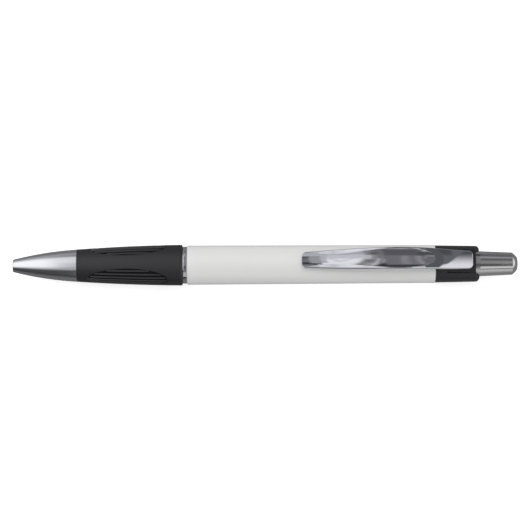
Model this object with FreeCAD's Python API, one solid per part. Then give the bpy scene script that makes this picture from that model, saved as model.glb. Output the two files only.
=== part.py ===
"""A click ballpoint pen with a ribbed rubber grip, a dished spring clip and a ratchet mechanism.

Stations run along the pen from the nose end, in millimetres. The clip is on top.
"""

import FreeCAD, Part

import math
import os

from FreeCAD import Vector

# Lengths of the outer pieces, nose to button
NOSE_LENGTH = 17.8
GRIP_LENGTH = 29.3
RING_LENGTH = 1.3
BARREL_LENGTH = 68.6
CAP_LENGTH = 12.3
BUTTON_EXPOSED = 10.7

# Radii of the outside
NOSE_TIP_R = 1.8
NOSE_TIP_ROUND = 0.35
NOSE_BELLY = 0.39
GRIP_FRONT_R = 4.49
GRIP_REAR_R = 5.65
GRIP_BELLY = 0.2
GRIP_REAR_ROUND = 0.45
RING_R = 5.12
RING_ROUND = 0.2
BARREL_FRONT_R = 5.46
BARREL_REAR_R = 5.26
BARREL_EDGE = 0.15
CAP_FRONT_R = 5.16
CAP_REAR_R = 4.98
CAP_ROUND_LENGTH = 1.1
CAP_ROUND_DEPTH = 1.25
BUTTON_R = 3.49
BUTTON_END_R = 3.1
BUTTON_ROUND_LENGTH = 1.35
BUTTON_ROUND_MIDDLE = (0.54, 0.46)
BUTTON_FACE_R = 1.82
BUTTON_DOME = 0.25

# Walls and bores of the housing
POINT_BORE_R = 1.3
POINT_BORE_LENGTH = 6.0
CHAMBER_R = 2.3
NOSE_SPIGOT_R = 3.2
NOSE_SPIGOT_LENGTH = 5.8
SPIGOT_END_GAP = 0.1
CORE_FRONT_R = 3.7
CORE_REAR_R = 4.6
CORE_STEP = 2.2
CORE_BORE_R = 3.0
CORE_THREAD_R = 4.33
CORE_THREAD_LENGTH = 9.9
BARREL_THREAD_RELIEF = 0.6
BARREL_BORE_R = 4.15
BARREL_LEAD = 0.6

# Grip ovals: three recesses with lengthwise ribs
OVALS = 3
OVAL_CENTRE = 14.2
OVAL_LENGTH = 22.2
OVAL_SWEEP = 74.0
OVAL_DEPTH = 0.4
OVAL_RIBS = 6
RIB_PITCH_DEG = 12.2
RIB_WIDTH = 0.52

# Clip
CLIP_LENGTH = 47.1
CLIP_CREST = 26.3
CLIP_TIP_HALF = 2.12
CLIP_WIDE_HALF = 3.03
CLIP_HEAD_HALF = 2.47
CLIP_TIP_CORNER = 0.8
CLIP_HEAD_CORNER = 1.15
CLIP_ARCH_GAP = 1.85
CLIP_DEPTH = 2.0
CLIP_TIP_DEPTH = 0.9
CLIP_TIP_LIFT = 0.3
CLIP_HEAD_PROUD = 1.18
CLIP_HEAD_SUNK = 0.6
CLIP_EDGE = 0.3
CLIP_HEAD_END = 2.1
CLIP_TOE_TO_CREST = (0.46, 0.5)
CLIP_CREST_TO_BACK = (0.47, 0.35)
CLIP_CREST_TO_NECK = (0.745, 0.8)
CLIP_NECK_UNDER = 0.67
NUB_SETBACK = 2.8
NUB_R = 0.9
DISH_R = 4.3
DISH_DEPTH = 0.95
DISH_TIP_DEPTH = 0.5
DISH_CREST_TO_END = (0.6, 0.48)
TENON_LENGTH = 3.4
TENON_HALF = 1.2
TENON_SETBACK = 1.8

# End cap
POCKET_HALF = 3.3
POCKET_DEPTH = 0.3
POCKET_LENGTH = 9.3
NOTCH_R = 4.3
NOTCH_DEPTH = 1.2
CAP_MOUTH_LENGTH = 8.3

# Click mechanism
PRESS_TRAVEL = 6.5
BUTTON_SEATED = 3.4
BUTTON_BORE_LENGTH = 10.0
STEM_R = 2.4
CAM_HUB_R = 2.75
PILOT_R = 1.2
PILOT_LENGTH = 4.4
GUIDE_BORE_R = 3.6
GUIDE_SLEEVE = 1.3
GUIDE_FRONT_RUN = 2.0
STOP_RING = 2.5
RIBS = 4
FIN_R = 3.4
FIN_HALF_DEG = 10.5
GROOVE_HALF_DEG = 12.0
FIN_LENGTH = 5.2
SPLINE_LENGTH = 3.2
SPLINE_STANDOFF = 0.6
RAMP_RISE = 1.6
TOOTH_HALF_DEG = 21.0
TOOTH_LEAD_DEG = 8.0
RELEASE_GAP = 0.1
ROTOR_HUB_R = 1.9
ROTOR_SKIRT_R = 2.2
ROTOR_SKIRT_LENGTH = 5.5
ROTOR_CUP_LENGTH = 2.8

# Refill and return spring
POINT_SETBACK = 2.5
BALL_R = 0.5
BALL_SHOWING = 0.3
POINT_TIP_R = 0.62
INK_CHANNEL_R = 0.35
POINT_CONE_LENGTH = 2.4
POINT_R = 1.15
POINT_LENGTH = 9.5
POINT_SHANK_R = 0.85
POINT_SHANK_LENGTH = 4.0
HOLDER_R = 1.5
HOLDER_TAPER = 2.0
HOLDER_LENGTH = 12.0
COLLAR_R = 2.05
COLLAR_LENGTH = 1.2
TUBE_R = 1.5
TUBE_BORE_R = 1.0
PLUG_LENGTH = 4.0
INK_LENGTH = 62.0
SPRING_R = 1.88
SPRING_WIRE_R = 0.18
SPRING_TURNS = 8

# Fits
SEAT_FIT = 0.02
SLIDE_FIT = 0.09
CUP_FIT = 0.07
BALL_FIT = 0.03
REST_GAP = 0.05
STOP_GAP = 0.3
HUB_GAP = 0.15
NUB_GAP = 0.03

# Stations of the outer joints
nose_rear = NOSE_LENGTH
grip_rear = nose_rear + GRIP_LENGTH
ring_rear = grip_rear + RING_LENGTH
barrel_rear = ring_rear + BARREL_LENGTH
cap_rear = barrel_rear + CAP_LENGTH
pen_rear = cap_rear + BUTTON_EXPOSED
spigot_front = nose_rear - NOSE_SPIGOT_LENGTH

# Stations of the clip
clip_rear = cap_rear - CLIP_HEAD_END
clip_front = clip_rear - CLIP_LENGTH
clip_crest = clip_front + CLIP_CREST

# Stations of the click mechanism with the point retracted
skirt_front = cap_rear - BUTTON_SEATED
guide_ring_rear = skirt_front - PRESS_TRAVEL - STOP_GAP
guide_ring_front = guide_ring_rear - STOP_RING
guide_rear = guide_ring_rear + GUIDE_SLEEVE
spline_rear = guide_ring_front - REST_GAP
spline_front = spline_rear - SPLINE_LENGTH
step_deg = 180 / RIBS
ramp_slope = RAMP_RISE / step_deg
tooth_depth = ramp_slope * TOOTH_HALF_DEG
valley = spline_front - SPLINE_STANDOFF
tooth_tip = valley - tooth_depth
valley_deg = FIN_HALF_DEG + TOOTH_LEAD_DEG
fin_top = valley - ramp_slope * valley_deg - REST_GAP
fin_peak = fin_top + ramp_slope * FIN_HALF_DEG
fin_front = fin_peak - FIN_LENGTH
rib_tip = fin_peak - PRESS_TRAVEL + RELEASE_GAP
rotor_hub_rear = tooth_tip - HUB_GAP
guide_front = fin_front - PRESS_TRAVEL - GUIDE_FRONT_RUN
rotor_front = fin_front - ROTOR_SKIRT_LENGTH
refill_rear = rotor_front + ROTOR_CUP_LENGTH - REST_GAP

# Stations of the refill
ball_centre = POINT_SETBACK + BALL_R
point_front = ball_centre - BALL_R + BALL_SHOWING
point_rear = point_front + POINT_LENGTH
holder_rear = point_rear + HOLDER_LENGTH
collar_rear = holder_rear + COLLAR_LENGTH

rest_height = max(GRIP_REAR_R, BARREL_FRONT_R, CAP_REAR_R)


def turned(start, *moves):
    """Revolve an outline of (station, radius) points about the pen's axis.

    A move is the next point, or a pair of points: one on the arc and its end.
    """

    def corner(point):
        return Vector(point[0], 0, point[1])

    edges = []
    here = start
    for move in moves:
        if isinstance(move[0], tuple):
            edges.append(Part.Arc(corner(here), corner(move[0]), corner(move[1])).toShape())
            here = move[1]
        else:
            edges.append(Part.makeLine(corner(here), corner(move)))
            here = move
    if here != start:
        edges.append(Part.makeLine(corner(here), corner(start)))
    return Part.Face(Part.Wire(edges)).revolve(Vector(), Vector(1, 0, 0), 360)


def tube(front, rear, inner_r, outer_r):
    return turned((front, inner_r), (front, outer_r), (rear, outer_r), (rear, inner_r))


def rod(front, rear, radius):
    return Part.makeCylinder(radius, rear - front, Vector(front, 0, 0), Vector(1, 0, 0))


def between(start, end, share):
    return start + (end - start) * share


def sector(outline, turn_deg, inner_r, outer_r):
    """A block with radial sides, from (degrees, station) corners, cut to two radii."""
    faces = []
    for radius in (inner_r / 2, outer_r * 1.1):
        corners = [Vector(s, -radius * math.tan(math.radians(a)), radius) for a, s in outline]
        faces.append(Part.makePolygon(corners + corners[:1]))
    block = Part.makeLoft(faces, True, True)
    block.rotate(Vector(), Vector(1, 0, 0), turn_deg)
    stations = [station for _, station in outline]
    return block.common(tube(min(stations) - 1, max(stations) + 1, inner_r, outer_r))


def nose_outline_arc():
    """The nose cone's curved outline, from the tip's round to the grip."""
    middle = (NOSE_LENGTH / 2, between(NOSE_TIP_R, GRIP_FRONT_R, 0.5) + NOSE_BELLY)
    return middle, (nose_rear, GRIP_FRONT_R)


def nose_cone():
    corner = NOSE_TIP_ROUND * (1 - math.sqrt(0.5))
    return turned(
        (0, POINT_BORE_R),
        (0, NOSE_TIP_R - NOSE_TIP_ROUND),
        ((corner, NOSE_TIP_R - corner), (NOSE_TIP_ROUND, NOSE_TIP_R)),
        nose_outline_arc(),
        (nose_rear, NOSE_SPIGOT_R + SEAT_FIT),
        (spigot_front, NOSE_SPIGOT_R + SEAT_FIT),
        (spigot_front, CHAMBER_R),
        (POINT_BORE_LENGTH, CHAMBER_R),
        (POINT_BORE_LENGTH, POINT_BORE_R),
    )


def grip_core():
    thread_rear = grip_rear + CORE_THREAD_LENGTH
    return turned(
        (spigot_front + SPIGOT_END_GAP, CHAMBER_R),
        (spigot_front + SPIGOT_END_GAP, NOSE_SPIGOT_R),
        (nose_rear, NOSE_SPIGOT_R),
        (nose_rear, CORE_FRONT_R),
        (grip_rear, CORE_REAR_R),
        (grip_rear, CORE_THREAD_R),
        (thread_rear, CORE_THREAD_R),
        (thread_rear, CORE_BORE_R),
        (nose_rear + CORE_STEP, CORE_BORE_R),
        (nose_rear + CORE_STEP, CHAMBER_R),
    )


def grip_skin(depth):
    """The grip's outside as a solid body of revolution, lowered by a depth."""
    round_start = grip_rear - GRIP_REAR_ROUND
    corner = GRIP_REAR_ROUND * math.sqrt(0.5)
    shoulder_r = GRIP_REAR_R - GRIP_REAR_ROUND
    belly_r = between(GRIP_FRONT_R, GRIP_REAR_R, 0.5) + GRIP_BELLY
    return turned(
        (nose_rear, 0),
        (nose_rear, GRIP_FRONT_R - depth),
        ((between(nose_rear, round_start, 0.5), belly_r - depth), (round_start, GRIP_REAR_R - depth)),
        ((round_start + corner, shoulder_r + corner - depth), (grip_rear, shoulder_r - depth)),
        (grip_rear, 0),
    )


def grip_oval():
    """An oval prism standing on the pen's axis, wide enough to meet the skin at its sweep."""
    middle_r = between(GRIP_FRONT_R, GRIP_REAR_R, 0.5) + GRIP_BELLY
    half_width = middle_r * math.sin(math.radians(OVAL_SWEEP / 2))
    centre = Vector(nose_rear + OVAL_CENTRE, 0, 0)
    ellipse = Part.Ellipse(centre, OVAL_LENGTH / 2, half_width)
    return Part.Face(Part.Wire(ellipse.toShape())).extrude(Vector(0, 0, 2 * GRIP_REAR_R))


def grip_ribs():
    """The lengthwise ribs that stand in one oval, as radial bars."""
    ribs = []
    for index in range(OVAL_RIBS):
        bar = Part.makeBox(
            OVAL_LENGTH,
            RIB_WIDTH,
            2 * GRIP_REAR_R,
            Vector(nose_rear + OVAL_CENTRE - OVAL_LENGTH / 2, -RIB_WIDTH / 2, 0),
        )
        bar.rotate(Vector(), Vector(1, 0, 0), (index - (OVAL_RIBS - 1) / 2) * RIB_PITCH_DEG)
        ribs.append(bar)
    return ribs


def rubber_grip():
    skin = grip_skin(0)
    lining = turned((nose_rear, 0), (nose_rear, CORE_FRONT_R), (grip_rear, CORE_REAR_R), (grip_rear, 0))
    recess = grip_oval().cut(grip_ribs()).cut(grip_skin(OVAL_DEPTH))
    recesses = []
    for index in range(OVALS):
        turn = 360 / OVALS * (index + 0.5)
        recesses.append(recess.rotated(Vector(), Vector(1, 0, 0), turn))
    return skin.cut(lining).cut(recesses)


def centre_ring():
    inner_r = CORE_THREAD_R + SEAT_FIT
    corner = RING_ROUND * (1 - math.sqrt(0.5))
    return turned(
        (grip_rear, inner_r),
        (grip_rear, RING_R - RING_ROUND),
        ((grip_rear + corner, RING_R - corner), (grip_rear + RING_ROUND, RING_R)),
        (ring_rear - RING_ROUND, RING_R),
        ((ring_rear - corner, RING_R - corner), (ring_rear, RING_R - RING_ROUND)),
        (ring_rear, inner_r),
    )


def barrel():
    thread_r = CORE_THREAD_R + SEAT_FIT
    thread_rear = grip_rear + CORE_THREAD_LENGTH + BARREL_THREAD_RELIEF
    return turned(
        (ring_rear, thread_r),
        (ring_rear, BARREL_FRONT_R - BARREL_EDGE),
        (ring_rear + BARREL_EDGE, BARREL_FRONT_R),
        (barrel_rear, BARREL_REAR_R),
        (barrel_rear, BARREL_BORE_R),
        (thread_rear + BARREL_LEAD, BARREL_BORE_R),
        (thread_rear, thread_r),
    )


def cap_skin(depth):
    """The cap's outside as a solid body of revolution, lowered by a depth."""
    round_start = cap_rear - CAP_ROUND_LENGTH
    round_middle = round_start + CAP_ROUND_LENGTH * math.sqrt(0.5)
    middle_r = CAP_REAR_R - CAP_ROUND_DEPTH * (1 - math.sqrt(0.5))
    rim_r = CAP_REAR_R - CAP_ROUND_DEPTH
    return turned(
        (barrel_rear, 0),
        (barrel_rear, CAP_FRONT_R - depth),
        (round_start, CAP_REAR_R - depth),
        ((round_middle, middle_r - depth), (cap_rear, rim_r - depth)),
        (cap_rear, 0),
    )


def clip_pocket():
    """The shallow seat for the clip's head, sunk in the top of the cap."""
    front = cap_rear - POCKET_LENGTH
    block = Part.makeBox(POCKET_LENGTH, 2 * POCKET_HALF, 2 * CAP_REAR_R, Vector(front, -POCKET_HALF, 0))
    return block.cut(cap_skin(POCKET_DEPTH))


def cap_notch():
    """The rounded notch across the cap's rear rim, on the clip's side of the button."""
    front = cap_rear - NOTCH_DEPTH
    bottom = BUTTON_R + SLIDE_FIT
    width = 4 * CAP_REAR_R
    hollow = Part.makeCylinder(NOTCH_R, width, Vector(front + NOTCH_R, -width / 2, bottom), Vector(0, 1, 0))
    above = Part.makeBox(NOTCH_R, width, CAP_REAR_R, Vector(front, -width / 2, bottom))
    return hollow.fuse(above)


def tenon(fit):
    """The block under the clip's head that passes through the cap's wall."""
    rear = clip_rear - TENON_SETBACK
    bottom = BUTTON_R + SLIDE_FIT + SEAT_FIT
    return Part.makeBox(
        TENON_LENGTH + 2 * fit,
        2 * (TENON_HALF + fit),
        CAP_REAR_R + CLIP_HEAD_PROUD / 2 - bottom + 2 * fit,
        Vector(rear - TENON_LENGTH - fit, -TENON_HALF - fit, bottom - 2 * fit),
    )


def end_cap():
    mouth_front = cap_rear - CAP_MOUTH_LENGTH
    shell = cap_skin(0).cut(rod(barrel_rear - 1, mouth_front, BARREL_BORE_R))
    shell = shell.cut(rod(mouth_front - 1, cap_rear + 1, BUTTON_R + SLIDE_FIT))
    return shell.cut(clip_pocket()).cut(cap_notch()).cut(tenon(SEAT_FIT))


def barrel_radius(station):
    return between(BARREL_FRONT_R, BARREL_REAR_R, (station - ring_rear) / BARREL_LENGTH)


def clip_profile():
    """The clip's side view: an arched top and underside, running down into the cap."""
    tip_under = barrel_radius(clip_front) + CLIP_TIP_LIFT
    tip_top = tip_under + CLIP_TIP_DEPTH
    crest_under = barrel_radius(clip_crest) + CLIP_ARCH_GAP
    crest_top = crest_under + CLIP_DEPTH
    head_top = CAP_REAR_R + CLIP_HEAD_PROUD
    head_under = CAP_REAR_R - CLIP_HEAD_SUNK

    def rising(shares, start, crest):
        return Vector(between(clip_front, clip_crest, shares[0]), 0, between(start, crest, shares[1]))

    def falling(shares, crest, end):
        return Vector(between(clip_crest, clip_rear, shares[0]), 0, between(crest, end, shares[1]))

    top = Part.BSplineCurve()
    top.interpolate([
        Vector(clip_front, 0, tip_top),
        rising(CLIP_TOE_TO_CREST, tip_top, crest_top),
        Vector(clip_crest, 0, crest_top),
        falling(CLIP_CREST_TO_BACK, crest_top, head_top),
        falling(CLIP_CREST_TO_NECK, crest_top, head_top),
        Vector(clip_rear, 0, head_top),
    ])
    under_end = Vector(between(clip_crest, clip_rear, CLIP_NECK_UNDER), 0, head_under)
    under = Part.BSplineCurve()
    under.interpolate([
        Vector(clip_front, 0, tip_under),
        rising(CLIP_TOE_TO_CREST, tip_under, crest_under),
        Vector(clip_crest, 0, crest_under),
        falling(CLIP_CREST_TO_BACK, crest_under, head_under),
        under_end,
    ])
    outline = [
        top.toShape(),
        Part.makeLine(Vector(clip_rear, 0, head_top), Vector(clip_rear, 0, head_under)),
        Part.makeLine(Vector(clip_rear, 0, head_under), under_end),
        under.toShape(),
        Part.makeLine(Vector(clip_front, 0, tip_under), Vector(clip_front, 0, tip_top)),
    ]
    face = Part.Face(Part.Wire(Part.__sortEdges__(outline)))
    face.translate(Vector(0, -2 * CLIP_WIDE_HALF, 0))
    return face.extrude(Vector(0, 4 * CLIP_WIDE_HALF, 0))


def clip_plan():
    """The clip seen from above: bowed sides and rounded corners, as an upright prism."""
    sides = []
    for side in (1, -1):
        front = Vector(clip_front, side * CLIP_TIP_HALF, 0)
        widest = Vector(clip_crest, side * CLIP_WIDE_HALF, 0)
        rear = Vector(clip_rear, side * CLIP_HEAD_HALF, 0)
        sides.append((front, rear, Part.Arc(front, widest, rear).toShape()))
    ends = [Part.makeLine(sides[0][end], sides[1][end]) for end in (0, 1)]
    wire = Part.Wire(Part.__sortEdges__([sides[0][2], ends[0], sides[1][2], ends[1]]))
    prism = Part.Face(wire).extrude(Vector(0, 0, 3 * CAP_REAR_R))
    upright = [edge for edge in prism.Edges if edge.BoundBox.ZLength > CAP_REAR_R]
    middle = between(clip_front, clip_rear, 0.5)
    prism = prism.makeFillet(CLIP_TIP_CORNER, [e for e in upright if e.CenterOfMass.x < middle])
    upright = [edge for edge in prism.Edges if edge.BoundBox.ZLength > CAP_REAR_R]
    sharp = [e for e in upright if e.CenterOfMass.x > clip_rear - CLIP_HEAD_CORNER / 2]
    return prism.makeFillet(CLIP_HEAD_CORNER, sharp)


def clip_dish():
    """The ring-shaped cutter that leaves a shallow channel along the clip's top."""
    tip_top = barrel_radius(clip_front) + CLIP_TIP_LIFT + CLIP_TIP_DEPTH
    crest_top = barrel_radius(clip_crest) + CLIP_ARCH_GAP + CLIP_DEPTH
    head_top = CAP_REAR_R + CLIP_HEAD_PROUD
    along, down = DISH_CREST_TO_END
    bottom = Part.Arc(
        Vector(clip_front, 0, tip_top - DISH_TIP_DEPTH),
        Vector(clip_crest, 0, crest_top - DISH_DEPTH),
        Vector(between(clip_crest, clip_rear, along), 0, between(crest_top, head_top, down)),
    ).toShape().Curve
    return Part.makeTorus(bottom.Radius + DISH_R, DISH_R, bottom.Center, Vector(0, 1, 0))


def clip():
    body = clip_plan().common(clip_profile())
    top = max(body.Faces, key=lambda face: face.CenterOfMass.z)
    body = body.makeFillet(CLIP_EDGE, top.Edges).cut(clip_dish())
    nub_station = clip_front + NUB_SETBACK
    nub_centre = barrel_radius(nub_station) + NUB_GAP + NUB_R
    nub_half = CLIP_TIP_HALF - CLIP_EDGE
    nub = Part.makeCylinder(NUB_R, 2 * nub_half, Vector(nub_station, -nub_half, nub_centre), Vector(0, 1, 0))
    return body.fuse(nub).cut(cap_skin(0).cut(clip_pocket())).fuse(tenon(0)).removeSplitter()


def cam_guide():
    """A sleeve with ratchet ribs: deep grooves between them, and a notch in each rib's nose end."""
    bore_r = CAM_HUB_R + SLIDE_FIT
    wall_r = between(GUIDE_BORE_R, BARREL_BORE_R, 0.5)
    half_rib = step_deg - GROOVE_HALF_DEG
    rib_outline = [
        (-half_rib, rib_tip),
        (GROOVE_HALF_DEG, rib_tip + RAMP_RISE),
        (GROOVE_HALF_DEG, rib_tip),
        (half_rib, rib_tip + ramp_slope * (half_rib - GROOVE_HALF_DEG)),
        (half_rib, guide_ring_front),
        (-half_rib, guide_ring_front),
    ]
    pieces = [tube(guide_ring_front, guide_ring_rear, bore_r, wall_r)]
    for index in range(RIBS):
        pieces.append(sector(rib_outline, (2 * index + 1) * step_deg, bore_r, wall_r))
    sleeve = tube(guide_front, guide_rear, GUIDE_BORE_R, BARREL_BORE_R - SEAT_FIT)
    return sleeve.fuse(pieces).removeSplitter()


def drive_cam():
    """The thrust piece: a crown of teeth, splines that run in the guide's grooves, and a stem."""
    hub = rod(tooth_tip, skirt_front, CAM_HUB_R)
    stem = rod(skirt_front, skirt_front + BUTTON_BORE_LENGTH, STEM_R)
    spline_outline = [
        (-FIN_HALF_DEG, spline_front),
        (FIN_HALF_DEG, spline_front),
        (FIN_HALF_DEG, spline_rear),
        (-FIN_HALF_DEG, spline_rear),
    ]
    root_r = between(STEM_R, CAM_HUB_R, 0.5)
    splines = [sector(spline_outline, index * 2 * step_deg, root_r, FIN_R) for index in range(RIBS)]
    notch_outline = [
        (-TOOTH_HALF_DEG, tooth_tip - tooth_depth),
        (TOOTH_HALF_DEG, tooth_tip - tooth_depth),
        (TOOTH_HALF_DEG, tooth_tip),
        (0, valley),
        (-TOOTH_HALF_DEG, tooth_tip),
    ]
    notches = []
    for index in range(2 * RIBS):
        notches.append(sector(notch_outline, valley_deg + index * step_deg, PILOT_R / 2, FIN_R))
    bore = rod(tooth_tip - 1, rotor_hub_rear + PILOT_LENGTH + STOP_GAP, PILOT_R + SLIDE_FIT)
    return hub.fuse([stem] + splines).cut(notches).cut(bore).removeSplitter()


def cam_rotor():
    """The indexing piece: slanted fins round a hub, with a cup in front for the refill's tail."""
    fin_outline = [
        (-FIN_HALF_DEG, fin_front),
        (FIN_HALF_DEG, fin_front),
        (FIN_HALF_DEG, fin_peak),
        (-FIN_HALF_DEG, fin_top - ramp_slope * FIN_HALF_DEG),
    ]
    root_r = between(PILOT_R, ROTOR_HUB_R, 0.5)
    fins = [sector(fin_outline, index * 2 * step_deg, root_r, FIN_R) for index in range(RIBS)]
    skirt = rod(rotor_front, fin_front, ROTOR_SKIRT_R)
    hub = rod(fin_front, rotor_hub_rear, ROTOR_HUB_R)
    pilot = rod(rotor_hub_rear, rotor_hub_rear + PILOT_LENGTH, PILOT_R)
    cup = rod(rotor_front - 1, rotor_front + ROTOR_CUP_LENGTH, TUBE_R + CUP_FIT)
    return skirt.fuse([hub, pilot] + fins).cut(cup).removeSplitter()


def push_button():
    dome_start = pen_rear - BUTTON_DOME
    dome_r = (BUTTON_FACE_R**2 + BUTTON_DOME**2) / (2 * BUTTON_DOME)
    dome_half = math.asin(BUTTON_FACE_R / dome_r) / 2
    round_start = dome_start - BUTTON_ROUND_LENGTH
    along, inward = BUTTON_ROUND_MIDDLE
    bore_rear = skirt_front + BUTTON_BORE_LENGTH
    return turned(
        (skirt_front, STEM_R + SEAT_FIT),
        (skirt_front, BUTTON_R),
        (cap_rear, BUTTON_R),
        (round_start, BUTTON_END_R),
        (
            (between(round_start, dome_start, along), between(BUTTON_END_R, BUTTON_FACE_R, inward)),
            (dome_start, BUTTON_FACE_R),
        ),
        ((pen_rear - dome_r * (1 - math.cos(dome_half)), dome_r * math.sin(dome_half)), (pen_rear, 0)),
        (bore_rear, 0),
        (bore_rear, STEM_R + SEAT_FIT),
    )


def writing_ball():
    return Part.makeSphere(BALL_R, Vector(ball_centre, 0, 0))


def writing_point():
    """The metal point, with a socket that closes round the ball and an ink channel behind it."""
    seat_r = BALL_R + BALL_FIT
    mouth_r = math.sqrt(seat_r**2 - (ball_centre - point_front) ** 2)
    channel_front = ball_centre + math.sqrt(seat_r**2 - INK_CHANNEL_R**2)
    shank_rear = point_rear + POINT_SHANK_LENGTH
    return turned(
        (point_front, mouth_r),
        (point_front, POINT_TIP_R),
        (point_front + POINT_CONE_LENGTH, POINT_R),
        (point_rear, POINT_R),
        (point_rear, POINT_SHANK_R),
        (shank_rear, POINT_SHANK_R),
        (shank_rear, INK_CHANNEL_R),
        (channel_front, INK_CHANNEL_R),
        ((ball_centre, seat_r), (point_front, mouth_r)),
    )


def point_holder():
    """The moulded holder: it carries the point, its collar seats the spring, its plug fits the tube."""
    shank_rear = point_rear + POINT_SHANK_LENGTH
    return turned(
        (point_rear, POINT_SHANK_R + SEAT_FIT),
        (point_rear, POINT_R),
        (point_rear + HOLDER_TAPER, HOLDER_R),
        (holder_rear, HOLDER_R),
        (holder_rear, COLLAR_R),
        (collar_rear, COLLAR_R),
        (collar_rear, TUBE_BORE_R - SEAT_FIT),
        (collar_rear + PLUG_LENGTH, TUBE_BORE_R - SEAT_FIT),
        (collar_rear + PLUG_LENGTH, INK_CHANNEL_R),
        (shank_rear, INK_CHANNEL_R),
        (shank_rear, POINT_SHANK_R + SEAT_FIT),
    )


def refill_tube():
    return tube(collar_rear, refill_rear, TUBE_BORE_R, TUBE_R)


def ink_column():
    return rod(collar_rear + PLUG_LENGTH, collar_rear + PLUG_LENGTH + INK_LENGTH, TUBE_BORE_R)


def refill_spring():
    """The return spring, from the nose cone's seat to the holder's collar."""
    clear = SPRING_WIRE_R + REST_GAP
    length = holder_rear - POINT_BORE_LENGTH - 2 * clear
    helix = Part.makeHelix(length / SPRING_TURNS, length, SPRING_R)
    section = Part.Wire(Part.makeCircle(SPRING_WIRE_R, Vector(SPRING_R, 0, 0), Vector(0, 1, 0)))
    coil = Part.Wire(helix.Edges).makePipeShell([section], True, True)
    coil.rotate(Vector(), Vector(0, 1, 0), 90)
    coil.translate(Vector(POINT_BORE_LENGTH + clear, 0, 0))
    return coil


PIECES = (
    nose_cone,
    grip_core,
    rubber_grip,
    centre_ring,
    barrel,
    end_cap,
    clip,
    cam_guide,
    push_button,
    drive_cam,
    cam_rotor,
    refill_tube,
    ink_column,
    point_holder,
    writing_point,
    writing_ball,
    refill_spring,
)

os.makedirs("parts", exist_ok=True)
for piece in PIECES:
    shape = piece()
    shape.translate(Vector(-pen_rear / 2, 0, rest_height))
    shape.exportStep(os.path.join("parts", piece.__name__ + ".step"))
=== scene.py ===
"""Dresses the click pen: turned, moulded and plated pieces, a ribbed rubber grip and a white studio."""

import math
from functools import partial

import bpy
import bmesh
import numpy as np
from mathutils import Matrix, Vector


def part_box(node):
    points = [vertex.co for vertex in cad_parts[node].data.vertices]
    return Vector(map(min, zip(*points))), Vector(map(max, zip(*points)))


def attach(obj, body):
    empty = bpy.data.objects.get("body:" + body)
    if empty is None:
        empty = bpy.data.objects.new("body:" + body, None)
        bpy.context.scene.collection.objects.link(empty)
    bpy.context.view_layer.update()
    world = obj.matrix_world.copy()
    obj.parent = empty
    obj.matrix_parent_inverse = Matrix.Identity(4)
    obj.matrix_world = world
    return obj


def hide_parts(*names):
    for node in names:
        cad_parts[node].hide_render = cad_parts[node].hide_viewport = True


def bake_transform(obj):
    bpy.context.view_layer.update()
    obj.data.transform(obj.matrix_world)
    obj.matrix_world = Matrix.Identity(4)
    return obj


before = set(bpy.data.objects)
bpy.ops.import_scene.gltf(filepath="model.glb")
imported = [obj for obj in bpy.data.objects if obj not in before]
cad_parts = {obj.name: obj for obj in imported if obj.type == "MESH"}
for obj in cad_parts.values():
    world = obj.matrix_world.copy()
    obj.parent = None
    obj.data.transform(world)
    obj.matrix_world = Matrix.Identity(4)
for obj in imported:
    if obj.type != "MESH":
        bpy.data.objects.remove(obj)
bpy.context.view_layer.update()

MM = 0.001

# Places read from the construction
AXIS_Z = (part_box("barrel")[0].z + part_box("barrel")[1].z) / 2
NOSE_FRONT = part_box("nose_cone")[0].x
NOSE_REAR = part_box("nose_cone")[1].x
GRIP_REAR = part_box("rubber_grip")[1].x
RING_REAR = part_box("centre_ring")[1].x
BARREL_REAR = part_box("barrel")[1].x
CAP_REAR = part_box("end_cap")[1].x
PEN_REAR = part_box("push_button")[1].x
SKIRT_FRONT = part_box("push_button")[0].x
CLIP_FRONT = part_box("clip")[0].x
CLIP_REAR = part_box("clip")[1].x
GRIP_REAR_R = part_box("rubber_grip")[1].y
RING_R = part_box("centre_ring")[1].y
NOSE_REAR_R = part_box("nose_cone")[1].y
BARREL_FRONT_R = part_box("barrel")[1].y
BUTTON_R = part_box("push_button")[1].y
POINT_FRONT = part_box("writing_point")[0].x
POINT_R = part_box("writing_point")[1].y
BALL_CENTRE = (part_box("writing_ball")[0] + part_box("writing_ball")[1]) / 2
BALL_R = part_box("writing_ball")[1].y

# Small sizes of the turned pieces and the cap
NOSE_TIP_R = 1.8 * MM
NOSE_TIP_ROUND = 0.35 * MM
NOSE_BELLY = 0.39 * MM
NOSE_MOUTH_BEVEL = 0.08 * MM
NOSE_BACK_SLOPE = 0.5 * MM
POINT_BORE_R = 1.3 * MM
GRIP_BELLY = 0.2 * MM
GRIP_REAR_ROUND = 0.45 * MM
CORE_FRONT_R = 3.7 * MM
RING_ROUND = 0.2 * MM
RING_WALL = 0.8 * MM
BARREL_REAR_R = 5.26 * MM
BARREL_EDGE = 0.15 * MM
BARREL_REAR_EDGE = 0.06 * MM
BARREL_WALL = 1.1 * MM
CAP_FRONT_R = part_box("end_cap")[1].y
CAP_REAR_R = 4.98 * MM
CAP_EDGE = 0.06 * MM
CAP_ROUND_LENGTH = 1.1 * MM
CAP_ROUND_DEPTH = 1.25 * MM
CAP_MOUTH_R = BUTTON_R + 0.09 * MM
POCKET_HALF = 3.3 * MM
POCKET_DEPTH = 0.3 * MM
POCKET_LENGTH = 9.3 * MM
POCKET_EDGE = 0.06 * MM
POCKET_RAMP = 0.15 * MM
NOTCH_R = 4.3 * MM
NOTCH_DEPTH = 1.2 * MM
NOTCH_SOFTNESS = 0.12 * MM
BUTTON_END_R = 3.1 * MM
BUTTON_ROUND_LENGTH = 1.35 * MM
BUTTON_FACE_R = 1.82 * MM
BUTTON_DOME = 0.25 * MM
BUTTON_ROUND_MIDDLE = (0.54, 0.46)

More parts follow.
